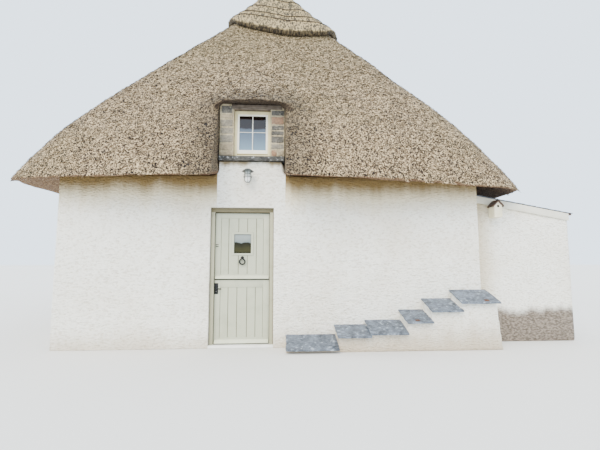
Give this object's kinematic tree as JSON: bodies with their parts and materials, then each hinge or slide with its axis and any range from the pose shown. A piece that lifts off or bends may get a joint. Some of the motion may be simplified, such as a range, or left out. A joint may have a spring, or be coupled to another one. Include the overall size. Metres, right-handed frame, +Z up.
{
  "type": "thatched cottage",
  "caption": "White rubble-stone cottage under a steep hipped reed thatch, with an upper window in a bay cut through the thatch, a two-leaf stable door and a slated lean-to.",
  "frame": {"origin": "on the ground at the middle of the main block", "axes": "+X to the right along the front wall as seen from outside, +Y from the front wall back into the cottage, +Z up"},
  "size_m": [9.0253, 10.4782, 7.67],
  "materials": {
    "roughcast": "lime-washed roughcast",
    "flagstone": "worn flagstone",
    "floor_timber": "bare boards",
    "reed_thatch": "weathered reed thatch",
    "ridge_reed": "newer straw ridge",
    "cream_paint": "cream gloss paint",
    "glass": "clear",
    "rubble": "bare rubble in lime mortar",
    "old_timber": "weathered oak",
    "slate": "riven slate",
    "white_paint": "white paint",
    "sage_paint": "sage green eggshell paint",
    "black_iron": "black japanned",
    "zinc": "dull galvanised",
    "brown_roof": "dark stained boards"
  },
  "bodies": {
    "building": {"front_wall_left": "roughcast", "front_wall_right": "roughcast", "front_wall_head": "roughcast", "back_wall": "roughcast", "left_wall": "roughcast", "right_wall": "roughcast", "lean_to_front_wall": "roughcast", "lean_to_back_wall": "roughcast", "lean_to_side_wall": "roughcast", "stepped_plinth": "roughcast", "ground_floor": "flagstone", "loft_floor": "floor_timber", "thatch_front": "reed_thatch", "thatch_right": "reed_thatch", "thatch_back": "reed_thatch", "thatch_left": "reed_thatch", "thatch_ridge_cap": "ridge_reed", "front_window_frame": "cream_paint", "back_window_frame": "cream_paint", "left_window_frame": "cream_paint", "bird_box": "cream_paint", "front_window_glass": "glass", "back_window_glass": "glass", "left_window_glass": "glass", "lantern_glass": "glass", "front_window_surround": "rubble", "back_window_surround": "rubble", "front_window_lintel": "old_timber", "back_window_lintel": "old_timber", "front_window_sill": "slate", "back_window_sill": "slate", "left_window_sill": "slate", "lean_to_roof": "slate", "plinth_slate_0": "slate", "plinth_slate_1": "slate", "plinth_slate_2": "slate", "plinth_slate_3": "slate", "plinth_slate_4": "slate", "plinth_slate_5": "slate", "door_threshold": "white_paint", "lean_to_verge_board_front": "white_paint", "lean_to_verge_board_back": "white_paint", "door_jamb_left": "sage_paint", "door_jamb_right": "sage_paint", "door_frame_head": "sage_paint", "lantern_body": "zinc", "bird_box_roof": "brown_roof"},
    "lower_door": {"door_lower_leaf": "sage_paint", "latch_plate": "black_iron"},
    "upper_door": {"door_upper_leaf": "sage_paint", "door_glass": "glass", "knocker_plate": "black_iron"},
    "knocker": {"knocker_ring": "black_iron"},
    "lever": {"latch_lever": "black_iron"}
  },
  "joints": [
    {"name": "lower_door_hinge", "type": "hinge", "parent": "building", "child": "lower_door", "pos_m": [-0.0565, -4.3273, 0.5], "axis": [0, 0, -1], "range_deg": [0, 90]},
    {"name": "upper_door_hinge", "type": "hinge", "parent": "building", "child": "upper_door", "pos_m": [-0.0565, -4.3273, 1.5], "axis": [0, 0, -1], "range_deg": [0, 90]},
    {"name": "knocker_swing", "type": "hinge", "parent": "upper_door", "child": "knocker", "pos_m": [-0.49, -4.401, 1.328], "axis": [-1, 0, 0], "range_deg": [0, 100]},
    {"name": "lever_turn", "type": "hinge", "parent": "lower_door", "child": "lever", "pos_m": [-0.876, -4.41, 0.858], "axis": [0, 1, 0], "range_deg": [0, 40], "stiffness_Nm_per_rad": 1.5, "springref_deg": -20.05}
  ]
}
